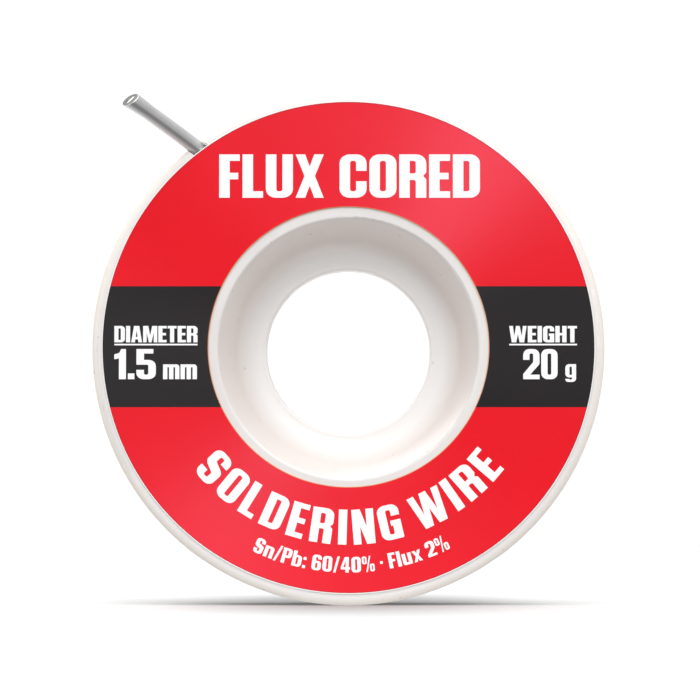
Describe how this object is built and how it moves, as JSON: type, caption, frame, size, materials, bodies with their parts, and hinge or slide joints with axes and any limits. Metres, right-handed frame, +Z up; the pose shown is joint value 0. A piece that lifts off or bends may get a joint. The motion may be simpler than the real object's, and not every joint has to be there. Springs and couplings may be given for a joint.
{
  "type": "solder wire spool",
  "caption": "Small white flanged spool with a printed ring label, wound with flux-cored solder wire whose cut end leaves through a slot in the front flange.",
  "frame": {"origin": "middle of the hub's bore, halfway between the two flange faces", "axes": "+Y along the spool's axis from the labelled front face to the rear face, +Z up with the spool standing on its rim"},
  "size_m": [0.05, 0.0198, 0.05],
  "materials": {
    "spool_plastic": "satin white moulded polystyrene",
    "label_print": "semi-gloss printed label",
    "solder": "dull grey drawn tin-lead wire",
    "flux": "pale rosin flux"
  },
  "bodies": {
    "root": {"spool_front_half": "spool_plastic", "spool_rear_half": "spool_plastic", "front_label": "label_print", "solder_inner_layer": "solder", "solder_outer_layer": "solder", "solder_start": "solder", "solder_lead": "solder", "flux_core": "flux"}
  },
  "joints": []
}
